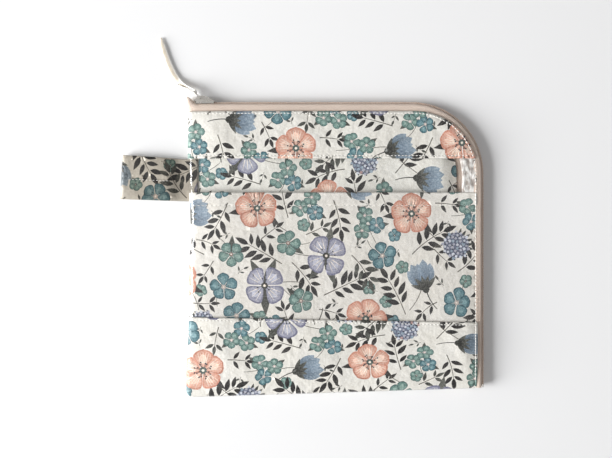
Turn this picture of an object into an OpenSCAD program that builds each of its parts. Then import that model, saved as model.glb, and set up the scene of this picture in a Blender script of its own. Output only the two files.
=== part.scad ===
// Square zip pouch lying on its back. The zip runs along the top, round the top right
// corner and down the right side. X runs along the zip's top run, Y runs up the pouch
// and Z points out of its front. The origin is the centre of the back's outer face.

/* [Pouch] */
// Width from the left seam to the outside of the zip
pouch_w = 200; // [180:1:240]
// Height from the bottom seam to the outside of the zip
pouch_h = 200; // [190:1:240]
// Radius of the zip line at the top right corner
corner_r = 48; // [40:1:56]
// Free height inside the closed pouch
room_h = 5.1; // [4.8:0.1:8]
// Width over which the front curves down to the left and bottom seams
shoulder_w = 15; // [12:1:24]

/* [Front] */
// Height of the lower edge of the top band above the pouch's centre
band_top_y = 61.6; // [50:0.1:75]
// Height of the slip pocket's top edge above the pouch's centre
pocket_y = 38.6; // [10:0.1:45]
// Height of the bottom band's upper edge above the pouch's centre
band_low_y = -46.7; // [-60:0.1:-20]
// Depth of the slip pocket's stitched hem
hem_d = 8.8; // [6:0.1:12]

/* [Cloth] */
// Thickness of the laminated cotton panels
cloth_t = 0.6; // [0.5:0.05:0.8]
// Thickness of the lining and of the slip pocket
lining_t = 0.4; // [0.3:0.05:0.5]
// Thickness of the clear vinyl
vinyl_t = 0.3; // [0.2:0.05:0.5]
// Thickness of the turned-in seam allowance
allowance_t = 0.7; // [0.5:0.05:0.9]
// Width of the turned-in seam allowance
allowance_w = 8; // [7:0.5:10]

/* [Zip] */
// Width of zip tape that shows beside the top edge
tape_show_top = 6.8; // [6:0.1:8]
// Width of zip tape that shows beside the right edge
tape_show_side = 4.7; // [4.5:0.1:6]
// Width of each half of the zip tape
tape_w = 14; // [12:0.5:15]
// Thickness of the zip tape
tape_t = 0.4; // [0.3:0.05:0.5]

/* [Slider] */
// Length of the slider's plates
slider_len = 14; // [13:0.5:15]
// Width of the slider over its side flanges
slider_w = 6.25; // [6.2:0.05:6.6]

/* [Tab] */
// Length of the tab outside its fold line
tab_len = 44; // [35:1:60]
// Width of the tab
tab_w = 28.4; // [24:0.1:32]
// Height of the tab's centre above the pouch's centre
tab_y = 47; // [30:0.1:48]
// Height of the tab loop where it is widest
tab_h = 5.6; // [5.5:0.1:7]

/* [Hidden] */
$fn = 64;

// Clearance between layers that lie on each other
gap = 0.05;
left_x = -pouch_w / 2;
low_y = -pouch_h / 2;

// Chain: how far the coil stands out of the tape's fold and in behind it
chain_out = 0.9;
chain_in = 0.7;
chain_x = pouch_w / 2 - chain_out;
chain_y = pouch_h / 2 - chain_out;
corner_x = chain_x - corner_r;
corner_y = chain_y - corner_r;
zip_low_y = low_y + 4;

// Fabric edges beside the zip
edge_x = pouch_w / 2 - tape_show_side;
edge_y = pouch_h / 2 - tape_show_top;
edge_r = edge_y - corner_y;
edge_inset = 8.2;
lining_x = edge_x - 12.8;
lining_y = edge_y - edge_inset;
lining_r = edge_r - edge_inset;

// Heights of the layers, each as [bottom, top], away from the seams
back_z = [0, cloth_t];
tape_back_z = [back_z[1] + gap, back_z[1] + gap + tape_t];
lining_z = [tape_back_z[1] + gap, tape_back_z[1] + gap + lining_t];
allowance_z = [lining_z[1] + gap, lining_z[1] + gap + allowance_t];
pocket_z = [lining_z[1] + room_h, lining_z[1] + room_h + lining_t];
tape_front_z = [pocket_z[1] + gap, pocket_z[1] + gap + tape_t];
window_z = [tape_front_z[1] + gap, tape_front_z[1] + gap + vinyl_t];
band_z = [window_z[1] + gap, window_z[1] + gap + cloth_t];

// Stitching: its thread, how far in from a folded edge it runs, and how far a row stops
// short of the stitching beside the zip
thread_t = 0.2;
thread_w = 0.5;
stitch_inset = 1.6;
row_gap = 5;

// The same layers pressed together at the left and bottom seams
pocket_s = [allowance_z[1] + gap, allowance_z[1] + gap + lining_t];
tape_front_s = [pocket_s[1] + gap, pocket_s[1] + gap + tape_t];
window_s = [tape_front_s[1] + gap, tape_front_s[1] + gap + vinyl_t];
band_s = [window_s[1] + gap, window_s[1] + gap + cloth_t];

// The tape's fold from flat beside the fabric to upright beside the coil
fold_inner_r = 1.1;
fold_r = fold_inner_r + tape_t;
// Overlap of the flat tape with the fold's straight end
fold_join = 0.4;
front_fold_z = tape_front_z[1] - fold_r;
back_fold_z = tape_back_z[0] + fold_r;
chain_z = (front_fold_z + back_fold_z) / 2;
tape_slot = 0.6;

// Slider, placed against the top stops with the zip closed
slider_x = left_x + 3.5;
post_x = slider_x + 0.9;
post_len = 2.4;
post_w = 0.8;
coil_x = post_x + post_len + 0.3;
plate_r = 1.2;
plate_t = 0.9;
inner_r = -2.4;
inner_t = 1;
inner_w = 4.3;
flange_t = 0.9;
flange_low_r = -0.4;
eye_x = slider_x + 4.3;
eye_r = 3.5;
eye_hole = 0.75;
bridge_w = 1.5;
bridge_wall = 1;
bridge_start_x = slider_x + 1;
bridge_end_x = slider_x + 12.5;
bridge_sink = 0.4;
plate_bevel = 0.5;

// Puller: a wire bail on a pin through the bridge's eye
pin_r = 0.5;
bail_len = 6;
bail_w = 5.4;
bail_angle = 130;

// Tab: fold line, neck beside it and distance over which the loop swells
hinge_x = left_x - 2;
hinge_z = (allowance_z[0] + allowance_z[1]) / 2;
tab_t = 0.7;
tab_neck = 5;
tab_rise = 12;
tail_w = 6.5;

// Route of the lace from the bail to its loose end, lying on the table
lace_w = 3.8;
lace_t = 1.3;
LACE = [
    [-96.6, 107.6, 4.2], [-98.2, 108.6, 4.0], [-100.2, 109.7, 3.4], [-102.4, 110.9, 2.6],
    [-104.5, 112.4, 1.8], [-106.4, 114.2, 1.2], [-108.2, 116.4, 0.9], [-109.8, 118.9, 0.8],
    [-111.2, 121.6, 0.7], [-112.6, 124.6, 0.7], [-113.9, 127.7, 0.7], [-115.1, 130.9, 0.7],
    [-116.2, 134.1, 0.7], [-117.3, 137.4, 0.7], [-118.3, 140.8, 0.7], [-119.3, 144.4, 0.7]
];

// ---------- 2D outlines ----------

// Panel outline with the rounded corner beside the zip
module outline(x0, y0, x1, y1, r) {
    translate([x0, y0]) square([x1 - x0 - r, y1 - y0]);
    translate([x0, y0]) square([x1 - x0, y1 - y0 - r]);
    translate([x1 - r, y1 - r]) circle(r);
}

module fabric_outline() {
    outline(left_x, low_y, edge_x, edge_y, edge_r);
}

// Strip between two distances inside the zip line, from the left end to the right end
module zip_strip(r0, r1, x0) {
    difference() {
        outline(x0, zip_low_y, chain_x + r1, chain_y + r1, corner_r + r1);
        outline(x0 - 1, zip_low_y - 1, chain_x + r0, chain_y + r0, corner_r + r0);
    }
}

// Strip of stitching that follows the fabric edge beside the zip
module edge_stitch(inset) {
    difference() {
        outline(left_x + 1, low_y + 8, edge_x - inset, edge_y - inset, edge_r - inset);
        outline(left_x, low_y + 7, edge_x - inset - thread_w, edge_y - inset - thread_w,
            edge_r - inset - thread_w);
    }
}

// ---------- Shells that curve down to the seams ----------

// Side view of the space under a layer: s high at the seam, z high past the shoulder
module profile(z, s, length) {
    steps = 8;
    rise = [for (i = [0:steps]) [shoulder_w * i / steps, s + (z - s) * sin(90 * i / steps)]];
    polygon(concat([[0, -1]], rise, [[length, z], [length, -1]]));
}

module under(z, s) {
    size = max(pouch_w, pouch_h);
    intersection() {
        translate([left_x, low_y + size, 0]) rotate([90, 0, 0])
            linear_extrude(size) profile(z, s, size);
        translate([left_x, low_y, 0]) rotate([90, 0, 90])
            linear_extrude(size) profile(z, s, size);
    }
}

// One layer of the front between its lower and upper faces, cut to a 2D outline
module layer(z, s) {
    intersection() {
        difference() {
            under(z[1], s[1]);
            under(z[0], s[0]);
        }
        linear_extrude(band_z[1] + 2) children();
    }
}

// ---------- Zip ----------

// Sweeps a cross-section along the zip: its X is the distance from the corner's centre
module along_zip(x0, y0) {
    translate([corner_x, corner_y, 0]) rotate_extrude(angle = 90) children();
    translate([x0, corner_y, 0]) rotate([90, 0, 90])
        linear_extrude(corner_x - x0) children();
    translate([corner_x, corner_y, 0]) rotate([90, 0, 0])
        linear_extrude(corner_y - y0) children();
}

// Cross-section of the tape's fold. up is 1 for the front half and -1 for the back half
module tape_fold(fold_z, up) {
    inner = fold_inner_r;
    flat = 2 * fold_join;
    fold_x = corner_r - chain_in - fold_r;
    angles = [0:15:90];
    outer_arc = [for (a = angles) [fold_x + fold_r * cos(a), fold_z + up * fold_r * sin(a)]];
    inner_arc = [for (a = angles) [fold_x + inner * cos(90 - a), fold_z + up * inner * sin(90 - a)]];
    edge_z = chain_z + up * tape_slot;
    polygon(concat(
        [[corner_r - chain_in, edge_z]], outer_arc,
        [[fold_x - flat, fold_z + up * fold_r], [fold_x - flat, fold_z + up * inner]],
        inner_arc, [[corner_r - chain_in - tape_t, edge_z]]
    ));
}

// Cross-section of one coil, a bar with its outer edges eased
module coil_section(fold_z, up) {
    ease = 0.4;
    z0 = chain_z + up * gap;
    r0 = corner_r - chain_in;
    r1 = corner_r + chain_out;
    polygon([
        [r0, z0], [r1, z0], [r1, fold_z - up * ease], [r1 - ease, fold_z], [r0, fold_z]
    ]);
}

module zip_tape_back() {
    color("rosybrown") {
        along_zip(left_x, zip_low_y) tape_fold(back_fold_z, -1);
        translate([0, 0, tape_back_z[0]]) linear_extrude(tape_t)
            zip_strip(-tape_w, -chain_in - fold_r - fold_join, left_x);
    }
}

module zip_tape_front() {
    color("rosybrown") {
        along_zip(left_x, zip_low_y) tape_fold(front_fold_z, 1);
        layer(tape_front_z, tape_front_s) zip_strip(-tape_w, -chain_in - fold_r - fold_join, left_x);
    }
}

module zip_coil_back() {
    color("tan") along_zip(coil_x, zip_low_y + 3) coil_section(back_fold_z, -1);
}

module zip_coil_front() {
    color("tan") along_zip(coil_x, zip_low_y + 3) coil_section(front_fold_z, 1);
}

// Block beside the tape's edge at the closed end, which the slider comes up against
module top_stop(fold_z, up) {
    z0 = chain_z + up * (tape_slot + 0.1);
    translate([left_x + 1.2, chain_y - chain_in, min(z0, fold_z)])
        cube([2, chain_in + chain_out - 0.2, abs(fold_z - z0)]);
}

module zip_top_stop_back() {
    color("silver") top_stop(back_fold_z, -1);
}

module zip_top_stop_front() {
    color("silver") top_stop(front_fold_z, 1);
}

// Staple across both halves of the chain at the far end
module zip_bottom_stop() {
    color("silver") translate([chain_x - chain_in, zip_low_y + 0.4, back_fold_z])
        cube([chain_in + chain_out - 0.2, 2.4, front_fold_z - back_fold_z]);
}

// ---------- Back ----------

module back_panel() {
    color("ivory") linear_extrude(cloth_t) fabric_outline();
}

module back_lining() {
    color("ivory") translate([0, 0, lining_z[0]]) linear_extrude(lining_t)
        outline(left_x + 0.5, low_y + 0.5, lining_x, lining_y, lining_r);
}

// Raw edges turned in along the left and bottom seams, cut away round the tab's tail
module seam_allowance() {
    clear = 0.3;
    color("beige") translate([0, 0, allowance_z[0]]) linear_extrude(allowance_t)
        difference() {
            union() {
                translate([left_x + 0.5, low_y + 0.5]) square([allowance_w, pouch_h - 24]);
                translate([left_x + 0.5, low_y + 0.5]) square([edge_x - left_x - 8, allowance_w]);
            }
            translate([left_x - 1, tab_y - tab_w / 2 - clear])
                square([1 + tail_w + clear, tab_w + 2 * clear]);
        }
}

module thread_zip_back() {
    color("white") translate([0, 0, tape_back_z[1]]) linear_extrude(thread_t)
        edge_stitch(stitch_inset);
}

// ---------- Front ----------

module front_top_band() {
    color("ivory") layer(band_z, band_s) difference() {
        fabric_outline();
        translate([left_x - 1, low_y - 1]) square([pouch_w + 2, band_top_y - low_y + 1]);
    }
}

module front_bottom_band() {
    color("ivory") layer(band_z, band_s)
        translate([left_x, low_y]) square([edge_x - left_x, band_low_y - low_y]);
}

// The window runs under both bands and is sewn into both seams and to the zip
module front_window() {
    under_band = 8;
    color("whitesmoke", 0.4) layer(window_z, window_s) intersection() {
        fabric_outline();
        translate([left_x, band_low_y - under_band])
            square([pouch_w, band_top_y - band_low_y + 2 * under_band]);
    }
}

module slip_pocket() {
    color("ivory") layer(pocket_z, pocket_s)
        translate([left_x, low_y]) square([edge_x - left_x, pocket_y - low_y]);
}

module thread_zip_front() {
    color("white") layer([band_z[1], band_z[1] + thread_t], [band_s[1], band_s[1] + thread_t])
        edge_stitch(stitch_inset);
}

// A straight row of stitching across the front
module stitch_row(z, s, y, x1) {
    color("white") layer([z[1], z[1] + thread_t], [s[1], s[1] + thread_t])
        translate([left_x + 1, y]) square([x1 - left_x - 1, thread_w]);
}

module thread_top_band() {
    stitch_row(band_z, band_s, band_top_y + stitch_inset - thread_w / 2, edge_x - row_gap);
}

module thread_bottom_band() {
    stitch_row(band_z, band_s, band_low_y - stitch_inset - thread_w / 2, edge_x - row_gap);
}

module thread_pocket_hem() {
    stitch_row(pocket_z, pocket_s, pocket_y - hem_d, chain_x - tape_w - 1);
}

// ---------- Slider ----------

// Turns a shape drawn in X and height above the chain, so that its thickness runs along Z
module beside_chain(width) {
    translate([0, chain_y, chain_z - width / 2]) linear_extrude(width) children();
}

module slider_body() {
    plate_top_r = plate_r + plate_t;
    slider_end_x = slider_x + slider_len;
    bridge_low_r = plate_top_r - bridge_sink;
    arch = eye_r + eye_hole + bridge_wall - bridge_low_r;
    color("slategray") difference() {
        union() {
            // outer plate with its side flanges
            difference() {
                beside_chain(slider_w) polygon([
                    [slider_x, flange_low_r], [slider_x, plate_top_r - plate_bevel],
                    [slider_x + plate_bevel, plate_top_r], [slider_end_x - plate_bevel, plate_top_r],
                    [slider_end_x, plate_top_r - plate_bevel], [slider_end_x, flange_low_r]
                ]);
                beside_chain(slider_w - 2 * flange_t) translate([slider_x - 1, flange_low_r - 1])
                    square([slider_len + 2, plate_r - flange_low_r + 1]);
                // the mouth, where the flanges flare back
                beside_chain(slider_w + 1) translate([slider_x - 1, flange_low_r - 1])
                    square([3, plate_r - flange_low_r + 1]);
            }
            // inner plate
            beside_chain(inner_w) translate([slider_x, inner_r]) square([slider_len, inner_t]);
            // post that parts the two coils
            beside_chain(post_w) translate([post_x, inner_r + inner_t / 2])
                square([post_len, plate_r + plate_t / 2 - inner_r - inner_t / 2]);
            // bridge over the outer plate: an arch, steep behind the eye and long before it
            beside_chain(bridge_w) polygon([for (a = [180:-15:0])
                let (reach = a > 90 ? eye_x - bridge_start_x : bridge_end_x - eye_x)
                [eye_x + reach * cos(a), bridge_low_r + arch * sin(a)]
            ]);
        }
        // eye for the puller's pin
        translate([eye_x, chain_y + eye_r, chain_z - bridge_w])
            cylinder(r = eye_hole, h = 2 * bridge_w);
    }
}

// Bail drawn along +X from the pin at the origin, then turned to where it rests
module slider_puller() {
    side_z = bail_w / 2;
    wire = 0.9;
    color("slategray") translate([eye_x, chain_y + eye_r, chain_z]) rotate([0, 0, bail_angle]) {
        translate([0, 0, -side_z]) cylinder(r = pin_r, h = bail_w);
        for (side = [-1, 1])
            translate([-wire / 2, -wire / 2, side * (side_z - wire / 2) - wire / 2])
                cube([bail_len, wire, wire]);
        translate([bail_len - wire, -wire / 2, -side_z]) cube([wire, wire, bail_w]);
    }
}

// Flat tube through the points of a route, its width level at every ring
module flat_tube(route, width, thick) {
    sides = 8;
    last = len(route) - 1;
    function direction(i) = let (d = route[min(i + 1, last)] - route[max(i - 1, 0)]) d / norm(d);
    function across(i) = let (d = direction(i), c = [-d[1], d[0], 0]) c / norm(c);
    points = [for (i = [0:last], k = [0:sides - 1])
        let (a = 360 * k / sides, c = across(i), n = cross(c, direction(i)))
        route[i] + c * cos(a) * width / 2 + n * sin(a) * thick / 2];
    sides_faces = [for (i = [0:last - 1], k = [0:sides - 1])
        [i * sides + k, i * sides + (k + 1) % sides, (i + 1) * sides + (k + 1) % sides,
            (i + 1) * sides + k]];
    start = [for (k = [sides - 1:-1:0]) k];
    end = [for (k = [0:sides - 1]) last * sides + k];
    polyhedron(points, concat(sides_faces, [start], [end]));
}

module pull_lace() {
    color("antiquewhite") flat_tube(LACE, lace_w, lace_t);
}

// ---------- Tab ----------

// Half circle of radius r round [x, z], from the first angle to the second
function half_turn(x, z, r, from, to) =
    [for (i = [0:12]) let (a = from + (to - from) * i / 12) [x + r * cos(a), z + r * sin(a)]];

// Side view of the loop: a thin neck at the fold line that swells to a round end
module tab_loop() {
    middle = tab_h / 2;
    end_x = hinge_x - tab_len + middle;
    rise_x = hinge_x - tab_rise;
    neck_x = hinge_x - tab_neck;
    color("wheat") translate([0, tab_y + tab_w / 2, 0]) rotate([90, 0, 0])
        linear_extrude(tab_w) difference() {
            polygon(concat(
                [[neck_x, hinge_z + tab_t], [rise_x, tab_h]],
                half_turn(end_x, middle, middle, 90, 270),
                [[rise_x, 0], [neck_x, hinge_z - tab_t]],
                half_turn(hinge_x, hinge_z, tab_t, -90, 90)
            ));
            polygon(concat(
                [[neck_x - tab_t, hinge_z], [rise_x, tab_h - tab_t]],
                half_turn(end_x, middle, middle - tab_t, 90, 270),
                [[rise_x, tab_t]]
            ));
        }
}

// The loop's two ends, sewn into the left seam. Outside the seam they stop short of the fold
module tab_tail() {
    outside = 1.1;
    color("wheat") translate([left_x - outside, tab_y - tab_w / 2, allowance_z[0]])
        cube([outside + tail_w, tab_w, allowance_t]);
}

module thread_tab() {
    x0 = hinge_x - tab_len + tab_h / 2 + 1;
    color("white") translate([x0, tab_y - thread_w / 2, tab_h])
        cube([hinge_x - tab_rise - 1 - x0, thread_w, thread_t]);
}

back_panel();
back_lining();
seam_allowance();
tab_tail();
zip_tape_back();
zip_coil_back();
zip_top_stop_back();
zip_bottom_stop();
thread_zip_back();
front_top_band();
front_bottom_band();
front_window();
slip_pocket();
zip_tape_front();
zip_coil_front();
zip_top_stop_front();
thread_zip_front();
thread_top_band();
thread_bottom_band();
thread_pocket_hem();
slider_body();
slider_puller();
pull_lace();
tab_loop();
thread_tab();
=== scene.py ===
"""A zippered cotton pouch with a clear window, lying on its back on a white table."""

import math
import random

import bpy
import numpy as np
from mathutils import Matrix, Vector
from mathutils.geometry import delaunay_2d_cdt


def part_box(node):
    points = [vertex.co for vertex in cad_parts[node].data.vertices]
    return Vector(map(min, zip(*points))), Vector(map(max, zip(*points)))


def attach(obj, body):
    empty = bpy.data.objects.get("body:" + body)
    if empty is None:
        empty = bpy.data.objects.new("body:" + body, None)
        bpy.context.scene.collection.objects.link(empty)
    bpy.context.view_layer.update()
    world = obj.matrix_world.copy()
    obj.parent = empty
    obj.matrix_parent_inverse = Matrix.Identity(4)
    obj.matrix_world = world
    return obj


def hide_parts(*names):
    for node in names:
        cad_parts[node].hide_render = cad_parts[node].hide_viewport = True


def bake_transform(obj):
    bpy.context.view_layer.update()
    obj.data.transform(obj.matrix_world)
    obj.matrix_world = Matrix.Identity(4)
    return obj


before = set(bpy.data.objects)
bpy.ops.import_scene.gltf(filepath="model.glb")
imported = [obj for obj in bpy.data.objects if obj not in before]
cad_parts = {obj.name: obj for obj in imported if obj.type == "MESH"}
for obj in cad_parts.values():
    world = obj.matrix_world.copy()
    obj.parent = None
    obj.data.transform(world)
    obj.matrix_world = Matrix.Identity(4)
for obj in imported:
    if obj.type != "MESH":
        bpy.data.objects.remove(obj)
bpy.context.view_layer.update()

MM = 0.001

# ---------- Places, from the frame, in millimetres ----------


def node_box(name):
    low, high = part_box(name)
    return np.array(low) / MM, np.array(high) / MM


back_low, back_high = node_box("back_panel")
left_x, low_y = back_low[0], back_low[1]
edge_x, edge_y = back_high[0], back_high[1]
band_low, band_high = node_box("front_top_band")
pocket_low, pocket_high = node_box("slip_pocket")
lower_low, lower_high = node_box("front_bottom_band")
window_low, window_high = node_box("front_window")
lining_low, lining_high = node_box("back_lining")
tape_back_low = node_box("zip_tape_back")[0]
coil_low, coil_high = node_box("zip_coil_front")
coil_back_high = node_box("zip_coil_back")[1]
tab_low, tab_high = node_box("tab_loop")
tail_low, tail_high = node_box("tab_tail")
allow_low, allow_high = node_box("seam_allowance")

# How far the coil reaches out past the zip's middle line
CHAIN_OUT = 0.9
chain_x = coil_high[0] - CHAIN_OUT
chain_y = coil_high[1] - CHAIN_OUT
chain_z = (coil_low[2] + coil_back_high[2]) / 2
CORNER_R = 48.0
corner_x, corner_y = chain_x - CORNER_R, chain_y - CORNER_R
edge_r = edge_y - corner_y
# How far in from a seam the front reaches its full height
SLOPE = 26.0
BACK, FRONT = "pouch_back", "front_panel"
CLOTH_T, LINING_T, VINYL_T, TAPE_T, TAB_T = 0.6, 0.4, 0.3, 0.4, 0.7

# ---------- Camera, in metres ----------

FRAME_W, SUBJECT_Z = 0.414, 0.006
LENS, SENSOR = 50.0, 36.0
VIEW_SHIFT = Vector((-0.0203, 0.0139, 0.0))

camera_data = bpy.data.cameras.new("camera")
camera_data.lens, camera_data.sensor_width = LENS, SENSOR
camera = bpy.data.objects.new("camera", camera_data)
camera.location = VIEW_SHIFT + Vector((0, 0, FRAME_W * LENS / SENSOR + SUBJECT_Z))
bpy.context.collection.objects.link(camera)
bpy.context.scene.camera = camera


# ---------- Small mesh tools ----------


def smooth(t):
    t = np.clip(t, 0, 1)
    return t * t * (3 - 2 * t)


def unit(v):
    return v / np.linalg.norm(v, axis=-1, keepdims=True)


def toward(a):
    return np.array([math.cos(a), math.sin(a)])


def distance_along(points):
    return np.concatenate([[0], np.cumsum(np.linalg.norm(np.diff(points, axis=0), axis=1))])


def cut_corners(p):
    """Rounds a line by cutting its corners twice."""
    for _ in range(2):
        q, r = 0.75 * p[:-1] + 0.25 * p[1:], 0.25 * p[:-1] + 0.75 * p[1:]
        p = np.concatenate([p[:1], np.stack([q, r], 1).reshape(-1, p.shape[1]), p[-1:]])
    return p


def tube_faces(rings, sides, first=0):
    """Faces of a tube whose points go round each ring in turn, with both ends closed."""
    faces = [(first + i + k, first + i + (k + 1) % sides, first + i + sides + (k + 1) % sides,
              first + i + sides + k) for i in range(0, (rings - 1) * sides, sides) for k in range(sides)]
    last = first + (rings - 1) * sides
    return faces + [tuple(range(first, first + sides))[::-1], tuple(range(last, last + sides))]


def grid_faces(rows, count, flip):
    """Faces between rows of points."""
    faces = [(k + i, k + i + 1, k + count + i + 1, k + count + i)
             for k in range(0, (rows - 1) * count, count) for i in range(count - 1)]
    return [f[::-1] for f in faces] if flip else faces


def make_object(name, points, faces, *materials):
    """A mesh object from points in millimetres."""
    mesh = bpy.data.meshes.new(name)
    mesh.from_pydata((np.asarray(points, float) * MM).tolist(), [], [list(map(int, f)) for f in faces])
    for m in materials:
        mesh.materials.append(m)
    mesh.polygons.foreach_set("use_smooth", [True] * len(mesh.polygons))
    mesh.update()
    obj = bpy.data.objects.new(name, mesh)
    bpy.context.collection.objects.link(obj)
    return obj


def vector_attribute(obj, name, values):
    a = obj.data.attributes.new(name, "FLOAT_VECTOR", "POINT")
    a.data.foreach_set("vector", np.asarray(values, np.float32).ravel())


def thicken(obj, thick):
    """Gives a sheet its thickness, equally on both sides, and its second material on the lower face."""
    m = obj.modifiers.new("thickness", "SOLIDIFY")
    m.thickness, m.offset = thick * MM, 0
    m.use_even_offset = False
    m.material_offset = m.material_offset_rim = len(obj.data.materials) - 1
    done = bpy.data.meshes.new_from_object(obj.evaluated_get(bpy.context.evaluated_depsgraph_get()))
    obj.modifiers.clear()
    obj.data = done
    return obj


def rest_points(obj):
    """An object's points in millimetres."""
    co = np.zeros(len(obj.data.vertices) * 3, np.float32)
    obj.data.vertices.foreach_get("co", co)
    return co.reshape(-1, 3) / MM


# ---------- Materials ----------


class Nodes:
    """Short hand for a material's node tree."""

    def __init__(self, name):
        self.material = bpy.data.materials.new(name)
        self.material.use_nodes = True
        self.tree = self.material.node_tree
        self.bsdf = next(n for n in self.tree.nodes if n.type == "BSDF_PRINCIPLED")
        self.out = next(n for n in self.tree.nodes if n.type == "OUTPUT_MATERIAL")

    def add(self, kind, inputs=None, **settings):
        n = self.tree.nodes.new("ShaderNode" + kind)
        for k, v in settings.items():
            setattr(n, k, v)
        for k, v in (inputs or {}).items():
            self.put(n.inputs[k], v)
        return n

    def put(self, socket, v):
        if isinstance(v, bpy.types.NodeSocket):
            self.tree.links.new(v, socket)
        elif isinstance(v, (tuple, list)) and len(v) == 3 and socket.type == "RGBA":
            socket.default_value = (*v, 1)
        else:
            socket.default_value = v

    def math(self, op, a, b=0.0):
        return self.add("Math", {0: a, 1: b}, operation=op).outputs[0]

    def place(self, name="cloth"):
        return self.add("Attribute", attribute_name=name).outputs["Vector"]

    def noise(self, where, scale, detail=2.0, rough=0.5):
        inputs = {"Vector": where, "Scale": scale, "Detail": detail, "Roughness": rough}
        return self.add("TexNoise", inputs).outputs["Fac"]

    def span(self, value, low, high, from_low=0.3, from_high=0.7):
        inputs = {"Value": value, "From Min": from_low, "From Max": from_high, "To Min": low, "To Max": high}
        return self.add("MapRange", inputs).outputs[0]

    def tone(self, where, scale, detail):
        return self.span(self.noise(where, scale, detail), 0.0, 1.0)

    def wave(self, value, k):
        return self.math("SINE", self.math("MULTIPLY", value, k))

    def mix(self, factor, a, b, blend="MIX"):
        n = self.add("Mix", data_type="RGBA", blend_type=blend)
        self.put(n.inputs[0], factor)
        self.put(n.inputs[6], a)
        self.put(n.inputs[7], b)
        return n.outputs[2]

    def bump(self, height, distance, strength=1.0, under=None):
        inputs = {"Height": height, "Distance": distance, "Strength": strength}
        if under is not None:
            inputs["Normal"] = under
        return self.add("Bump", inputs).outputs[0]

    def surface(self, **sockets):
        """Sets the shader's sockets and gives the material back."""
        for k, v in sockets.items():
            self.put(self.bsdf.inputs[k.replace("_", " ")], v)
        return self.material


def weave_height(n, where, pitch):
    """Plain weave: a chequer of small threads, from sines of the cloth's own coordinates."""
    xyz = n.add("SeparateXYZ", {0: where})
    k = 2 * math.pi / pitch
    return n.math("MULTIPLY", n.wave(xyz.outputs[0], k), n.wave(xyz.outputs[1], k))


def printed_material(name, tint=(1, 1, 1), rough=0.45, coat=0.2):
    """Printed cotton: watercolour colours from the print attribute, weave, and a clear laminate."""
    n = Nodes(name)
    where = n.place()
    ink = n.add("Attribute", attribute_name="print").outputs["Color"]
    bleed = n.span(n.noise(where, 0.9, 3), 0.72, 1.35)
    ink = n.add("Gamma", {"Color": ink, "Gamma": bleed}).outputs[0]
    mottle = n.tone(where, 0.06, 2)
    ground = n.mix(mottle, (1.0, 1.0, 1.0), (0.955, 0.945, 0.92))
    colour = n.mix(1.0, ink, ground, "MULTIPLY")
    colour = n.mix(1.0, colour, tint, "MULTIPLY")
    fine = n.bump(weave_height(n, where, 0.55), 0.00003, 0.5)
    wavy = n.bump(n.noise(where, 0.22, 2), 0.0011, 0.5, fine)
    roughness = n.span(n.noise(where, 0.15, 3), rough - 0.06, rough + 0.1)
    return n.surface(Base_Color=colour, Roughness=roughness, Normal=wavy, Coat_Weight=coat,
                     Coat_Roughness=0.28, Specular_IOR_Level=0.45)


def reverse_material(name, colour):
    """The cloth's unprinted reverse side."""
    n = Nodes(name)
    where = n.place()
    tone = n.tone(where, 0.5, 4)
    shade = tuple(c * 0.9 for c in colour)
    normal = n.bump(weave_height(n, where, 0.5), 0.00005, 0.8)
    return n.surface(Base_Color=n.mix(tone, colour, shade), Roughness=0.8, Normal=normal, Sheen_Weight=0.2)


def vinyl_material():
    """Clear soft vinyl: seen through, with a glossy, slightly rippled surface."""
    n = Nodes("clear_vinyl")
    where = n.place()
    ripple = n.bump(n.noise(where, 0.05, 2), 0.003, 0.5)
    ripple = n.bump(n.noise(where, 0.22, 1), 0.0004, 0.2, ripple)
    clear = n.add("BsdfTransparent", {"Color": (0.99, 0.99, 0.988)})
    gloss = n.add("BsdfGlossy", {"Color": (1, 1, 1), "Roughness": 0.15, "Normal": ripple})
    facing = n.add("Fresnel", {"IOR": 1.52, "Normal": ripple}).outputs[0]
    front_face = n.math("SUBTRACT", 1.0, n.add("NewGeometry").outputs["Backfacing"])
    amount = n.math("MULTIPLY", n.math("MINIMUM", n.math("ADD", facing, 0.01), 0.15), front_face)
    mixed = n.add("MixShader", {0: amount, 1: clear.outputs[0], 2: gloss.outputs[0]})
    n.tree.links.new(mixed.outputs[0], n.out.inputs[0])
    n.tree.nodes.remove(n.bsdf)
    return n.material


def tape_material():
    """Woven zip tape: fine slanting ribs whose lean swaps every few threads, with painted shade in the grooves
    between them.
    """
    n = Nodes("zip_tape")
    where = n.place("weave")
    xyz = n.add("SeparateXYZ", {0: where})
    along, across = xyz.outputs[0], xyz.outputs[1]
    zigzag = n.math("PINGPONG", across, 1.1)
    rib = n.wave(n.math("ADD", along, n.math("MULTIPLY", zigzag, 0.9)), 6.6)
    height = n.math("ADD", rib, n.math("MULTIPLY", n.wave(across, 9.0), 0.5))
    # Painted shade: the ribs' tone follows their height, darker in the grooves.
    tone = n.span(rib, 0.0, 1.0, -1.0, 1.0)
    dirt = n.span(n.noise(where, 0.3, 3), 0.0, 0.5)
    colour = n.mix(tone, (0.70, 0.54, 0.445), (0.93, 0.79, 0.68))
    colour = n.mix(dirt, colour, (0.85, 0.71, 0.61))
    normal = n.bump(height, 0.00016, 0.8)
    return n.surface(Base_Color=colour, Roughness=0.75, Normal=normal, Sheen_Weight=0.35)


def coil_material():
    n = Nodes("nylon_coil")
    tone = n.tone(n.place("weave"), 0.8, 2)
    colour = n.mix(tone, (0.66, 0.51, 0.42), (0.78, 0.63, 0.53))
    return n.surface(Base_Color=colour, Roughness=0.38, Subsurface_Weight=0.05)


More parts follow.
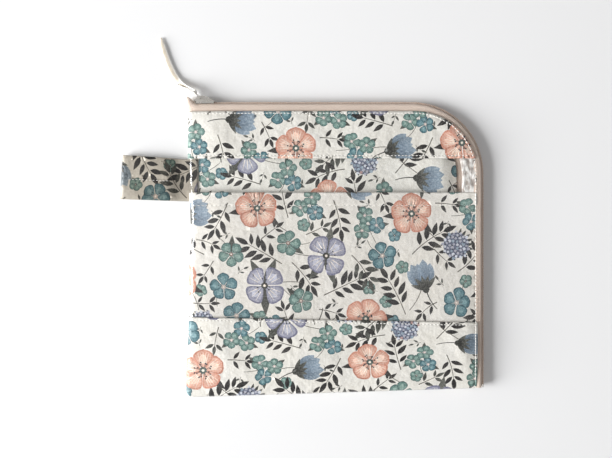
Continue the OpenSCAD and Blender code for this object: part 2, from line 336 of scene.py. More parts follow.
def metal_material(name, light, dark):
    """Cast metal: light at its edges; cloudy darker patches, kept off the edges, are partly tarnished metal and
    partly painted dark reflection; finely pitted.
    """
    n = Nodes(name)
    where = n.add("TexCoord").outputs["Object"]
    cloud = n.span(n.noise(where, 230.0, 4, 0.6), 0.0, 1.0, 0.44, 0.56)
    edge = n.span(n.add("NewGeometry").outputs["Pointiness"], 0.0, 1.0, 0.46, 0.56)
    # Cloudy darker patches: partly tarnished metal, partly painted dark reflection.
    tarnish_and_dark_reflection = n.math("MULTIPLY", cloud, n.math("SUBTRACT", 1.0, edge))
    pits = n.bump(n.noise(where, 1500.0, 2), 0.00002, 0.2)
    roughness = n.span(cloud, 0.2, 0.36, 0.0, 1.0)
    return n.surface(Base_Color=n.mix(tarnish_and_dark_reflection, light, dark), Roughness=roughness, Normal=pits, Metallic=1.0)


def thread_material():
    n = Nodes("thread")
    where = n.place("weave")
    xyz = n.add("SeparateXYZ", {0: where})
    twist = n.wave(n.math("ADD", xyz.outputs[0], xyz.outputs[1]), 24.0)
    normal = n.bump(twist, 0.00003, 0.5)
    tone = n.tone(where, 0.4, 2)
    colour = n.mix(tone, (0.90, 0.885, 0.85), (0.83, 0.81, 0.76))
    return n.surface(Base_Color=colour, Roughness=0.6, Normal=normal)


def lace_material():
    """Cream suede lace with a soft nap, and a pale band along one edge: partly the grain side's colour, partly a
    painted highlight.
    """
    n = Nodes("lace")
    where = n.place("weave")
    nap = n.noise(where, 3.0, 4, 0.65)
    tone = n.tone(where, 0.35, 3)
    face = n.mix(tone, (0.74, 0.67, 0.56), (0.62, 0.545, 0.44))
    across = n.add("SeparateXYZ", {0: where}).outputs[1]
    # Pale band along one edge: partly the grain side's colour, partly a painted highlight.
    edge = n.span(n.math("ADD", across, n.math("MULTIPLY", nap, 0.8)), 0.0, 1.0, 0.7, 1.7)
    colour = n.mix(edge, face, (0.93, 0.915, 0.88))
    return n.surface(Base_Color=colour, Roughness=0.85, Normal=n.bump(nap, 0.0002, 0.6), Sheen_Weight=0.4)


CREAM = (0.82, 0.80, 0.75)
laminate = printed_material("printed_laminate")
# The pocket and lining prints are tinted brighter: painted light, making up for the shade they lie in beneath the
# vinyl.
pocket_print = printed_material("printed_pocket", (1.06, 1.05, 1.06), 0.6, 0.1)
lining_print = printed_material("printed_lining", (1.11, 1.12, 1.13), 0.65, 0.08)
# The tab's print is tinted darker and duller than the same print elsewhere: painted shade.
tab_print = printed_material("printed_tab", (0.58, 0.54, 0.485), 0.45, 0.35)
reverse = reverse_material("cloth_reverse", (0.80, 0.775, 0.70))
vinyl = vinyl_material()
tape_cloth = tape_material()
coil_nylon = coil_material()
slider_metal = metal_material("slider_metal", (0.90, 0.86, 0.80), (0.20, 0.175, 0.155))
thread = thread_material()
suede = lace_material()

# ---------- The print: the designer's own motifs, drawn in millimetres ----------

PEACH = ((0.58, 0.26, 0.19), (0.70, 0.39, 0.30), (0.78, 0.52, 0.42))
TEAL = ((0.045, 0.10, 0.125), (0.085, 0.195, 0.23), (0.20, 0.32, 0.345))
SAGE = ((0.065, 0.125, 0.12), (0.14, 0.245, 0.225), (0.26, 0.37, 0.335))
LILAC = ((0.18, 0.18, 0.27), (0.34, 0.345, 0.435), (0.47, 0.48, 0.555))
BLUE = ((0.065, 0.10, 0.15), (0.15, 0.21, 0.29), (0.34, 0.42, 0.50))
LEAF = ((0.022, 0.020, 0.021), (0.036, 0.034, 0.034), (0.080, 0.075, 0.070))
OLIVE = ((0.055, 0.056, 0.050), (0.095, 0.098, 0.088), (0.16, 0.165, 0.145))
STEM = (0.13, 0.12, 0.10)
INK = (0.035, 0.035, 0.045)
PALE = (0.90, 0.82, 0.72)

TILE = 216.0
PRINT_SEED = 11


class Print:
    """Flat shapes in drawing order. Each has an outline and a colour that runs from one point to another."""

    def __init__(self, seed):
        self.random = random.Random(seed)
        self.shapes = []

    def add(self, points, c0, c1=None, p0=None, p1=None):
        points = np.asarray(points, float)
        c1 = c0 if c1 is None else c1
        p0 = points.mean(0) if p0 is None else np.asarray(p0, float)
        p1 = p0 + (1, 0) if p1 is None else np.asarray(p1, float)
        tone = self.random.uniform(0.9, 1.1)
        c0, c1 = (tuple(min(1, v * tone) for v in c) for c in (c0, c1))
        self.shapes.append((points, p0, p1, c0, c1))

    def blade(self, at, angle, length, width, c0, c1, blunt=0.8, power=1.0, steps=5):
        """A leaf or petal: a closed shape that starts at a point and runs along an angle."""
        u = np.linspace(0, 1, steps + 1)
        half = width / 2 * np.sin(math.pi * u**blunt) ** power
        upper = np.stack([u * length, half], 1)
        lower = np.stack([u * length, -half], 1)[1:-1]
        c, s = math.cos(angle), math.sin(angle)
        at = np.asarray(at, float)
        outline = np.concatenate([lower, upper[::-1]]) @ np.array([[c, s], [-s, c]]) + at
        self.add(outline, c0, c1, at, at + (c * length, s * length))

    def dot(self, at, r, colour, sides=5):
        a = np.linspace(0, 2 * math.pi, sides, endpoint=False) + self.random.random()
        self.add(np.asarray(at) + r * np.stack([np.cos(a), np.sin(a)], 1), colour)

    def stroke(self, points, w0, w1, colour):
        """A stem: a ribbon that narrows from w0 to w1 along a few points."""
        p = np.asarray(points, float)
        d = np.gradient(p, axis=0)
        side = np.stack([-d[:, 1], d[:, 0]], 1) / np.linalg.norm(d, axis=1, keepdims=True)
        w = np.linspace(w0, w1, len(p))[:, None] / 2
        self.add(np.concatenate([p - side * w, (p + side * w)[::-1]]), colour)

    def curve(self, at, angle, length, bend, steps=6):
        """Points along a line that leaves at an angle and bends by the given amount."""
        points, a = [np.asarray(at, float)], angle
        for _ in range(steps):
            points.append(points[-1] + length / steps * toward(a))
            a += bend / steps
        return np.array(points), a

    def petal(self, at, angle, length, width, colours, blunt=1.8, power=0.72):
        """A petal, narrow at its foot and round at its tip, with a darker rim and a washed middle."""
        rim, body, light = colours
        self.blade(at, angle, length, width, body, rim, blunt, power, 12)
        d = toward(angle)
        start = np.asarray(at) + length * 0.08 * d
        self.blade(start, angle, length * 0.86, width * 0.80, light, body, blunt, power, 11)
        lean = angle + self.random.uniform(-0.12, 0.12)
        mid = np.asarray(at) + length * 0.26 * d
        glow = tuple(min(1, v * 1.28) for v in light)
        self.blade(mid, lean, length * 0.52, width * 0.38, light, glow, 1.3, 0.9, 5)

    def blossom(self, at, r, count, colours, turn, width=0.8, heart=None, veins=0, stamens=0):
        at = np.asarray(at, float)
        order = list(range(count))
        self.random.shuffle(order)
        for k in order:
            a = turn + 2 * math.pi * k / count + self.random.uniform(-0.09, 0.09)
            size = r * self.random.uniform(0.93, 1.04)
            self.petal(at, a, size, r * width, colours)
            for v in range(veins):
                lean = (v - (veins - 1) / 2) * 0.62 / max(veins - 1, 1)
                d = toward(a + lean)
                self.stroke([at + d * r * 0.34, at + d * r * 0.82], r * 0.035, r * 0.012, PALE)
        for k in range(stamens):
            a = turn + 2 * math.pi * (k + 0.5 * (k % 2)) / stamens
            d = toward(a)
            reach = r * self.random.uniform(0.24, 0.42)
            self.stroke([at + d * r * 0.1, at + d * reach], r * 0.02, r * 0.02, INK)
            self.dot(at + d * reach, r * 0.045, INK, 4)
        if heart is not None:
            self.dot(at, r * 0.17, heart, 7)
            self.dot(at, r * 0.07, PALE, 5)

    def sprig(self, at, angle, length, bend, pairs, leaf, colours, thick=0.5):
        """A stem with leaves in pairs and one at its tip."""
        line, end = self.curve(at, angle, length, bend)
        self.stroke(line, thick, thick * 0.5, STEM)
        for k in range(pairs):
            t = 0.28 + 0.62 * k / max(pairs - 1, 1)
            i = t * (len(line) - 1)
            j = min(int(i), len(line) - 2)
            p = line[j] + (line[j + 1] - line[j]) * (i - j)
            a = angle + bend * t
            for side in (-1, 1):
                size = leaf * (1.05 - 0.35 * abs(t - 0.55)) * self.random.uniform(0.85, 1.12)
                lean = a + side * self.random.uniform(0.75, 1.0)
                foot = p + size * 0.12 * toward(lean)
                self.leaf(foot, lean, size, size * 0.37, colours)
        self.leaf(line[-1], end, leaf * 1.05, leaf * 0.38, colours)

    def leaf(self, at, angle, length, width, colours):
        dark, mid, light = colours
        mixed = self.random.random()
        c1 = tuple(m + (v - m) * mixed for m, v in zip(mid, light))
        self.blade(at, angle, length, width, dark, c1, 0.82, 1.0, 5)

    def globe(self, at, r, turn):
        """A round head of tiny florets over a frill of sepals."""
        at = np.asarray(at, float)
        for k in range(7):
            a = turn + (k - 3) * 0.3
            d = toward(a)
            self.blade(at + d * r * 0.7, a, r * 0.55, r * 0.2, LEAF[0], OLIVE[1], 0.8, 1.0, 4)
        self.dot(at, r * 0.9, (0.15, 0.17, 0.24), 14)
        count = 46
        for k in range(count):
            rho = r * 0.97 * math.sqrt((k + 0.5) / count)
            a = k * 2.39996 + turn
            p = at + rho * toward(a)
            tone = self.random.random()
            pick = LILAC[2] if tone < 0.35 else BLUE[2] if tone < 0.6 else (0.66, 0.69, 0.76)
            if tone > 0.95:
                pick = (0.50, 0.33, 0.32)
            self.dot(p, r * self.random.uniform(0.09, 0.13), pick, 5)
            if k % 3:
                q = p + r * 0.11 * toward(a + 1)
                self.dot(q, r * 0.06, INK, 4)

    def bell(self, at, size, angle, colours):
        """A nodding bell: broad pointed petals, pale at their tips, out of a dark cup of sepals."""
        at = np.asarray(at, float)
        for lean, long in ((-0.50, 0.88), (0.50, 0.88), (-0.22, 1.0), (0.24, 0.97), (0.02, 0.9)):
            self.blade(at, angle + lean, size * long, size * 0.42, colours[0], colours[2], 1.15, 0.75, 7)
            a = angle + lean * 0.94
            self.blade(at + 0.2 * size * toward(a), a, size * long * 0.66,
                       size * 0.2, colours[1], colours[2], 1.0, 0.9, 5)
        for lean in (-1.0, 1.0, -0.5, 0.5, 0.0):
            long = self.random.uniform(0.42, 0.56)
            self.blade(at, angle + lean, size * long, size * 0.16, LEAF[0], OLIVE[2], 0.75, 1.0, 5)
        back = angle + math.pi
        self.dot(at, size * 0.13, OLIVE[0], 7)
        line, _ = self.curve(at, back, size * 0.75, 0.5)
        self.stroke(line, 0.8, 0.5, OLIVE[0])


def draw_tile():
    """One repeat of the print: large motifs first, then sprigs and small flowers where there is room."""
    p = Print(PRINT_SEED)
    pick = p.random
    place = np.random.RandomState(PRINT_SEED)
    taken = []

    def room(points):
        """How far each point is from what is already drawn, with the tile repeating."""
        if not taken:
            return np.full(len(points), TILE)
        t = np.array(taken)
        d = (points[:, None] - t[None, :, :2] + TILE / 2) % TILE - TILE / 2
        return (np.hypot(d[..., 0], d[..., 1]) - t[:, 2]).min(1)

    def settle(r, tries=200):
        """The roomiest of many random places for a motif of this radius, or None."""
        spots = place.uniform(0, TILE, (tries, 2))
        clear = room(spots)
        k = int(clear.argmax())
        if clear[k] < r * 0.84:
            return None
        taken.append((*spots[k], r * 0.96))
        return spots[k]

    def settle_line(length, r, tries=1400):
        """The roomiest place and direction for a long motif, or None."""
        spots, a = place.uniform(0, TILE, (tries, 2)), place.uniform(0, 2 * math.pi, tries)
        run = np.column_stack([np.cos(a), np.sin(a)]) * length
        clear = np.min([room(spots + run * t) for t in (-0.38, 0, 0.38)], axis=0)
        k = int(clear.argmax())
        if clear[k] < r * 0.66:
            return None
        taken.extend((*(spots[k] + run[k] * t), r * 0.8) for t in (-0.38, 0, 0.38))
        return spots[k] - run[k] * 0.44, float(a[k])

    large = [("peach", 14.6)] * 6 + [("lilac", 14.4)] * 5 + [("bell", 12.2)] * 6 + [("rosebell", 11.2)] * 2
    heroes = [(kind, settle(r, 60), r, pick.uniform(0, 6.28)) for kind, r in large + [("globe", 9.7)] * 8]
    medium = [("teal", 9.6), ("trio", 11.0), ("sage", 8.8), ("trio", 11.0)] * 6
    extra = [(kind, settle(r)) for kind, r in medium]
    sprigs = [(k, settle_line(*k)) for k in [(31.0, 6.4)] * 14 + [(24.0, 5.8)] * 18 + [(15.0, 4.4)] * 26]
    small = [settle(r) for r in [4.6] * 16 + [3.2] * 36]

    for at in (s for s in small if s is not None):
        if pick.random() < 0.62:
            p.sprig(at - 2, pick.uniform(0, 6.28), 5.0, pick.uniform(-0.8, 0.8), 1, 3.8, OLIVE, 0.35)
        else:
            p.blossom(at, 4.6, 5, SAGE if pick.random() < 0.5 else TEAL, pick.random() * 6, 0.92, INK)
    for (length, r), found in sprigs:
        if found is None:
            continue
        foot, a = found
        pairs = 4 if length > 30 else 3 if length > 18 else 2
        p.sprig(foot, a, length * 0.84, pick.uniform(-0.5, 0.5), pairs, r * 1.5,
                LEAF if pick.random() < 0.75 else OLIVE, 0.7)
    heroes = [h for h in heroes if h[1] is not None]
    for kind, at, r, turn in heroes:
        line, _ = p.curve(at, turn + 2.6, r * 1.75, pick.uniform(-1.2, 1.2))
        p.stroke(line, 0.55, 0.45, STEM)
    for kind, at in extra:
        if at is None:
            continue
        turn = pick.random() * 6
        line, _ = p.curve(at, turn + 1, 15.0, pick.uniform(-1.4, 1.4))
        p.stroke(line, 0.42, 0.35, STEM)
        if kind == "teal":
            p.blossom(at, 9.8, 5, TEAL, turn, 0.84, (0.60, 0.53, 0.50), 0, 6)
        elif kind == "sage":
            p.leaf(at, turn + 0.6, 13.0, 4.4, OLIVE)
            p.blossom(at, 8.8, 5, SAGE, turn, 0.82, (0.30, 0.22, 0.20), 0, 6)
        else:
            for j in range(3):
                a = turn + j * 2.1
                q = at + 6.0 * toward(a)
                p.leaf(q, a + 0.3, 8.6, 3.4, OLIVE)
                p.blossom(q, 6.2, 5, SAGE if j != 1 else TEAL, a, 0.84, (0.66, 0.56, 0.55), 0, 5)
    for kind, at, r, turn in heroes:
        if kind == "peach":
            for lean in (0.4, 2.7):
                p.leaf(at, turn + lean, r * 1.35, r * 0.4, LEAF)
            p.blossom(at, r, 5, PEACH, turn, 0.92, (0.10, 0.13, 0.12), 5, 16)
        elif kind == "lilac":
            for lean in (0.8, 3.5, 4.4):
                p.leaf(at, turn + lean, r * 1.4, r * 0.44, OLIVE)
            p.blossom(at, r, 4, LILAC, turn, 0.98, OLIVE[0], 3, 6)
        elif kind == "globe":
            p.globe(at, r, turn)
        else:
            p.bell(at - 0.45 * r * toward(turn), r * 1.6, turn,
                   PEACH if kind == "rosebell" else BLUE)
    return p.shapes


tile_shapes = draw_tile()


def print_over(low, high, offset):
    """The print's shapes over a rectangle, for a piece cut from the cloth at an offset."""
    low, high = np.asarray(low, float), np.asarray(high, float)
    first = np.floor((low - offset) / TILE).astype(int) - 1
    last = np.floor((high - offset) / TILE).astype(int) + 1
    found = []
    for order, (points, p0, p1, c0, c1) in enumerate(tile_shapes):
        for i in range(first[0], last[0] + 1):
            for j in range(first[1], last[1] + 1):
                shift = np.array([i * TILE, j * TILE]) + offset
                moved = points + shift
                if (moved.max(0) > low).all() and (moved.min(0) < high).all():
                    found.append((order, moved, p0 + shift, p1 + shift, c0, c1))
    return [f[1:] for f in sorted(found, key=lambda f: f[0])]


# ---------- Cloth pieces cut from the print ----------


def polygon_area(p):
    x, y = p[:, 0], p[:, 1]
    return 0.5 * float(np.sum(x * np.roll(y, -1) - np.roll(x, -1) * y))


def spaced(points, step):
    """A closed outline with points no further apart than step."""
    out = []
    for a, b in zip(points, np.roll(points, -1, axis=0)):
        count = max(1, math.ceil(np.linalg.norm(b - a) / step))
        out += [a + (b - a) * k / count for k in range(count)]
    return np.array(out)


def arc(cx, cy, r, a0, a1, steps):
    a = np.radians(np.linspace(a0, a1, steps + 1))
    return np.stack([cx + r * np.cos(a), cy + r * np.sin(a)], 1)


def inside(points, outline):
    """Which points lie inside a closed outline."""
    x, y = points[:, 0], points[:, 1]
    a, b = outline, np.roll(outline, -1, axis=0)
    hit = np.zeros(len(points), bool)
    for (x0, y0), (x1, y1) in zip(a, b):
        if y0 != y1:
            crosses = (y0 > y) != (y1 > y)
            hit ^= crosses & (x < (x1 - x0) * (y - y0) / (y1 - y0) + x0)
    return hit


def edge_distance(points, outline):
    """How far each point is from a closed outline."""
    a, b = outline, np.roll(outline, -1, axis=0)
    best = np.full(len(points), 1e9)
    for p, q in zip(a, b):
        d = q - p
        t = np.clip(((points - p) @ d) / max(d @ d, 1e-9), 0, 1)
        best = np.minimum(best, np.linalg.norm(points - p - t[:, None] * d, axis=1))
    return best


def cut_cloth(outline, shapes, grid, extra=None):
    """Triangles of a flat piece with the print's outlines as its edges, and a colour for each corner."""
    low, high = outline.min(0), outline.max(0)
    xs = np.arange(low[0] + grid / 2, high[0], grid)
    ys = np.arange(low[1] + grid / 2, high[1], grid)
    dots = np.array([(x + (grid / 2 if k % 2 else 0), y) for k, y in enumerate(ys) for x in xs])
    dots = dots[inside(dots, outline)]
    dots = dots[edge_distance(dots, outline) > grid * 0.3]
    if extra is not None:
        dots = np.concatenate([dots, extra[inside(extra, outline)]])
    points, faces = [*outline, *dots], [list(range(len(outline)))]
    for shape in shapes:
        p = shape[0] if polygon_area(shape[0]) > 0 else shape[0][::-1]
        faces.append(list(range(len(points), len(points) + len(p))))
        points += list(p)
    verts, _, tris, _, _, sources = delaunay_2d_cdt(
        [Vector(p) for p in points], [], faces, 1, 1e-5, True)
    keep = [(t, max(s)) for t, s in zip(tris, sources) if 0 in s and len(t) == 3]
    flat = np.array([tuple(v) for v in verts])
    corners = np.array([t for t, _ in keep])
    top = np.array([s for _, s in keep])
    used, corners = np.unique(corners, return_inverse=True)
    flat, corners = flat[used], corners.reshape(-1, 3)
    p0 = np.array([(0, 0)] + [s[1] for s in shapes], float)[top]
    p1 = np.array([(1, 0)] + [s[2] for s in shapes], float)[top]
    c0 = np.array([CREAM] + [s[3] for s in shapes], float)[top]
    c1 = np.array([CREAM] + [s[4] for s in shapes], float)[top]
    d = p1 - p0
    t = np.einsum("ijk,ik->ij", flat[corners] - p0[:, None], d) / np.einsum("ik,ik->i", d, d)[:, None]
    t = np.clip(t, 0, 1)[..., None]
    colours = c0[:, None] * (1 - t) + c1[:, None] * t
    return flat, corners, colours


def flat_coordinates(obj, flat):
    vector_attribute(obj, "cloth", np.column_stack([flat, np.zeros(len(flat))]))


def print_piece(name, outline, place, offset, material, thick, grid=3.0, extra=None):
    """A printed cloth panel: cut flat, then laid in space by place(x, y)."""
    shapes = print_over(outline.min(0), outline.max(0), np.asarray(offset, float))
    flat, tris, colours = cut_cloth(outline, shapes, grid, extra)
    obj = make_object(name, place(flat[:, 0], flat[:, 1]), tris, material, reverse)
    ink = obj.data.attributes.new("print", "FLOAT_COLOR", "CORNER")
    rgba = np.concatenate([colours.reshape(-1, 3), np.ones((len(tris) * 3, 1))], 1)
    ink.data.foreach_set("color", rgba.astype(np.float32).ravel())
    flat_coordinates(obj, flat)
    return thicken(obj, thick)


def plain_piece(name, outline, place, material, thick, grid):
    flat, tris, _ = cut_cloth(outline, [], grid)
    obj = make_object(name, place(flat[:, 0], flat[:, 1]), tris, material)
    flat_coordinates(obj, flat)
    return thicken(obj, thick)


# ---------- The pouch's shape ----------

# Creases: start, end, width and height, all in millimetres
CREASES = [
    ((-96, 58), (-60, 50), 4, 0.5), ((-94, 30), (-55, 18), 5, 0.4), ((60, 88), (88, 62), 4, -0.4),
    ((70, -40), (93, -88), 3, 0.5), ((-92, -60), (-50, -90), 5, 0.45), ((20, -92), (60, -96), 4, 0.4),
    ((40, 60), (90, 40), 6, 0.4), ((-30, 92), (-10, 70), 5, 0.3), ((-90, 86), (-70, 70), 4, 0.45),
    ((88, 20), (60, -10), 7, 0.35), ((-20, -55), (10, -95), 6, 0.35), ((-60, 0), (-20, -40), 9, 0.4),
]


def ridge(x, y, a, b, width, height):
    a, b = np.array(a, float), np.array(b, float)
    d = b - a
    t = np.clip(((x - a[0]) * d[0] + (y - a[1]) * d[1]) / (d @ d), 0, 1)
    away = np.hypot(x - a[0] - t * d[0], y - a[1] - t * d[1])
    return height * np.exp(-((away / width) ** 2)) * np.sin(math.pi * np.clip(t, 0.02, 0.98))


def swell(x, y):
    """Low rolling of the filled front, the same for every layer, so that layers stay apart."""
    dome = 0.9 * np.cos(x / 150 * math.pi / 2) * np.cos(y / 150 * math.pi / 2)
    roll = 0.28 * np.sin(x / 17 + 0.7 * np.sin(y / 23)) * np.sin(y / 29 + 0.5)
    roll += 0.16 * np.sin(x / 9 + y / 21 + 1.3)
    return dome + roll + sum(ridge(x, y, *c) for c in CREASES)


def pull(x, y):
    """Sewing draws the outline a little out of square: the bottom hem rises to the right."""
    across = (x - left_x) / (edge_x - left_x)
    low = smooth((-50 - y) / 48)
    waist = np.exp(-(((y - lower_high[1]) / 26) ** 2)) * (1 - low)
    side = np.exp(-(((x - left_x) / 14) ** 2))
    dy = 6.2 * across * low + (0.9 - 3.4 * across) * waist
    dx = side * (0.9 * np.sin((y + 48) / 34) + 0.45 * np.sin(y / 11))
    return x + dx, y + dy


def rise(d):
    """Height share above a seam at distance d: a small rounded fold, then a long easy slope."""
    fold = 1 - np.exp(-np.maximum(d, 0) / 0.6)
    return 0.58 * fold + 0.42 * np.sin(math.pi / 2 * np.clip(d / SLOPE, 0, 1))


def shoulder(x, y):
    return rise(x - left_x) * rise(y - low_y)


def inset_from(x, y, right, top, r):
    """How far a point is in from a right side, a top and the arc of radius r that joins them."""
    cx, cy = right - r, top - r
    corner = r - np.hypot(np.maximum(x - cx, 0), np.maximum(y - cy, 0))
    return np.where((x > cx) & (y > cy), corner, np.minimum(right - x, top - y))


def zip_distance(x, y):
    """How far a point is in from the zip's line."""
    return inset_from(x, y, chain_x, chain_y, CORNER_R)


def zip_edge(x, y):
    """How far a point is in from the fabric's folded edge beside the zip."""
    return inset_from(x, y, edge_x, edge_y, edge_r)


def laid(top_z, seam_z, thick, sag=None, drop=0.7):
    """Lays a flat front piece: its top face at top_z, coming down to seam_z at the seams."""
    top, seam = top_z - thick / 2, seam_z + thick / 2

    def place(x, y):
        k = shoulder(x, y)
        z = seam + (top - seam) * k + swell(x, y) * k
        z = z - drop * smooth((11 - zip_distance(x, y)) / 8) * k
        if sag is not None:
            z = z + sag(x, y) * k
        return np.column_stack([*pull(x, y), z])

    return place


def fabric_outline(y0, y1, inset=0.0):
    """The panels' outline between two heights, with the rounded corner beside the zip."""
    x0, x1, top = left_x + inset, edge_x - inset, edge_y - inset
    r = edge_r - inset
    points = [(x0, y0), (x1, y0)]
    if y1 >= top:
        points += [tuple(p) for p in arc(x1 - r, top - r, r, 0, 90, 22)]
        points += [(x0, top)]
    elif y1 > top - r:
        a = math.degrees(math.asin((y1 - (top - r)) / r))
        points += [tuple(p) for p in arc(x1 - r, top - r, r, 0, a, max(3, int(a / 4)))]
        points += [(x0, y1)]
    else:
        points += [(x1, y1), (x0, y1)]
    return np.array(points, float)


def round_corner(points, index, r, steps=5):
    """Replaces one right-angled corner of an outline with a quarter turn."""
    p = points[index]
    before = points[index - 1] - p
    after = points[(index + 1) % len(points)] - p
    before, after = before / np.linalg.norm(before), after / np.linalg.norm(after)
    start, end = p + before * r, p + after * r
    centre = start + after * r
    a0 = math.atan2(*(start - centre)[::-1])
    a1 = math.atan2(*(end - centre)[::-1])
    turn = (a1 - a0 + math.pi) % (2 * math.pi) - math.pi
    a = np.linspace(a0, a0 + turn, steps + 1)
    new = centre + r * np.stack([np.cos(a), np.sin(a)], 1)
    return np.concatenate([points[:index], new, points[index + 1:]])


def panel(y1, low_left, step):
    """The outline of a cloth panel that reaches from the bottom seam up to y1."""
    return spaced(round_corner(round_corner(fabric_outline(low_y, y1), 1, 3.0), 0, low_left), step)


ROW_STEP, PITCH = 1.2, 2.4
STITCH_IN, ZIP_STITCH_IN = 1.6, 1.15
# How far in from a folded edge its rows of points lie
EDGE_STEPS = (0.35, 0.8, 1.2, 1.6, 2.0, 2.6)


def edge_rows(y, side, x0, x1):
    """Rows of points along a folded edge at height y, so that its roll and its stitch groove have shape."""
    xs = np.arange(x0 + 1, x1, ROW_STEP)
    return np.array([(x, y + side * d) for d in EDGE_STEPS for x in xs])


def edge_roll(d, t=0.0):
    """Height over a folded, topstitched edge at distance d from it: rolled over, with a stitch groove."""
    groove = -0.22 * np.exp(-(((d - STITCH_IN) / 0.4) ** 2)) * (0.8 + 0.2 * np.cos(2 * math.pi * t / PITCH))
    puff = 0.22 * np.exp(-(((d - 0.75) / 0.5) ** 2))
    return groove + puff - 0.35 * (1 - smooth(d / 0.6))


def with_edges(place, *edges):
    """Adds the folded-edge shape to a piece. Each edge is a function of x and y that gives the distance."""

    def placed(x, y):
        p = place(x, y)
        for distance in edges:
            d = distance(x, y)
            p[:, 2] += np.where(d < 4, edge_roll(np.maximum(d, 0), x), 0)
        return p

    return placed


def zip_rows(y0):
    """Rows of points along the folded edge beside the zip."""
    found = []
    for d in EDGE_STEPS:
        line = spaced(fabric_outline(y0, edge_y, d), ROW_STEP)
        near = zip_edge(line[:, 0], line[:, 1]) < d + 0.02
        found.append(line[near & (line[:, 0] > left_x + 1.5) & (line[:, 1] > y0 + 1)])
    return np.concatenate(found)


def ride_front(obj):
    """Bakes the piece's placement into its points and reads them back."""
    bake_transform(obj)
    p = rest_points(obj)


def finish(obj, body, slot, *nodes):
    """Puts a piece that is not on the front on its body, and hides the CAD nodes that it stands for. slot is not
    used.
    """
    if body == FRONT:
        ride_front(obj)
    else:
        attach(obj, body)
    if nodes:
        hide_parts(*nodes)


# Back panel: flat on the table, turned up at its rim
def lay_back(x, y):
    rim = np.minimum(np.minimum(x - left_x, y - low_y), 6)
    up = 1.5 * (1 - smooth(rim / 6)) ** 1.5
    far = 0.5 * smooth((10 - zip_distance(x, y)) / 4)
    flat = 0.16 * (1 + np.sin(x / 21) * np.sin(y / 26))
    return np.column_stack([*pull(x, y), CLOTH_T / 2 + 0.02 + flat + up + far])


back = print_piece("back_cloth", panel(edge_y, 4.5, 2.5), lay_back, (37, 91), laminate, CLOTH_T)
# the printed face is the outer one, so the sheet's two faces swap materials
back.data.polygons.foreach_set("material_index", 1 - np.array([f.material_index for f in back.data.polygons]))
finish(back, BACK, "printed_cotton", "back_panel")


# Lining: the inside of the back, seen through the window above the pocket
def lay_lining(x, y):
    z = (lining_low[2] + lining_high[2]) / 2
    gentle = 0.5 + 0.5 * np.sin(x / 13 + y / 31) * np.sin(y / 17 - x / 40)
    inner = smooth(np.minimum(np.minimum(x - left_x, y - low_y), 24) / 24)
    loose = smooth((zip_distance(x, y) - 15) / 12)
    return np.column_stack([*pull(x, y), z + 0.1 + (1.2 + 1.5 * gentle) * inner * loose])


lining_r = edge_r - (edge_y - lining_high[1])
lining_edge = np.concatenate([
    [lining_low[:2], (lining_high[0], lining_low[1])],
    arc(lining_high[0] - lining_r, lining_high[1] - lining_r, lining_r, 0, 90, 18),
    [(lining_low[0], lining_high[1])]])
lining = print_piece("lining", spaced(lining_edge, 3), lay_lining, (61, 25), lining_print, LINING_T, 4.0)
finish(lining, BACK, "lining_cotton", "back_lining")

# Turned-in seam allowances, with frayed inner edges
ALLOW_W = 8.0


def frayed(points, amount, seed):
    pick = random.Random(seed)
    return np.array([p + np.array([pick.uniform(-1, 1), pick.uniform(-1, 1)]) * amount for p in points])


def lay_allowance(x, y):
    wave = 0.08 * np.sin(x / 7) * np.sin(y / 6)
    return np.column_stack([*pull(x, y), (allow_low[2] + allow_high[2]) / 2 + wave])


seam_x, seam_y = allow_low[:2]
in_x, in_y = seam_x + ALLOW_W, seam_y + ALLOW_W
notch_x, notch_low, notch_high = tail_high[0] + 0.3, tail_low[1] - 0.3, tail_high[1] + 0.3
side_allowance = np.array([
    (seam_x + 0.4, seam_y), (in_x, in_y), (in_x, notch_low), (notch_x, notch_low), (notch_x, notch_high),
    (in_x, notch_high), (in_x, allow_high[1]), (seam_x + 0.4, allow_high[1])])
low_allowance = np.array([
    (seam_x + 0.8, seam_y), (allow_high[0], seam_y), (allow_high[0] - 1, in_y), (in_x + 0.6, in_y)])
for name, edge in (("seam_allowance_side", side_allowance), ("seam_allowance_low", low_allowance)):
    piece = plain_piece(name, frayed(spaced(edge, 1.6), 0.14, 5), lay_allowance, reverse, CLOTH_T, 4.0)
    finish(piece, BACK, "printed_cotton", "seam_allowance")

# ---------- Front ----------

POCKET_OFFSET, LOWER_OFFSET, UPPER_OFFSET = (12, 20), (88, 130), (150, 64)


def sag_window(x, y):
    """The vinyl dips between its bands and lies on the pocket."""
    t = (y - lower_high[1]) / (band_low[1] - lower_high[1])
    return -0.35 * np.sin(math.pi * np.clip(t, 0, 1)) + 0.12 * np.sin(x / 6 + 2 * np.sin(y / 14))


def sag_pocket(x, y):
    lip = smooth((pocket_high[1] - y) / 16)
    droop = -1.0 * (1 - lip) * np.sin(math.pi * np.clip((x - left_x) / (edge_x - left_x), 0, 1))
    return droop - 0.25 + 0.15 * np.sin(x / 15) * np.sin(y / 19)


pocket_rows = np.concatenate([
    edge_rows(pocket_high[1], -1, left_x, edge_x), edge_rows(pocket_high[1] - 7.2, -1, left_x, edge_x)])


HEM_D = 8.8


def hem_shape(y):
    """The pocket's doubled hem: thicker than the rest, with its row of stitches drawn in."""
    d = pocket_high[1] - y
    hem = 0.3 * smooth((9.4 - d) / 0.8)
    groove = -0.25 * np.exp(-(((d - HEM_D) / 0.5) ** 2))
    return hem + groove - 0.3 * (1 - smooth(d / 0.6)) + 0.1 * np.exp(-(((d - 0.8) / 0.5) ** 2))


lay_pocket_flat = laid(pocket_high[2], pocket_low[2], LINING_T, sag_pocket, 0.35)


def lay_pocket(x, y):
    p = lay_pocket_flat(x, y)
    p[:, 2] += hem_shape(y)
    return p


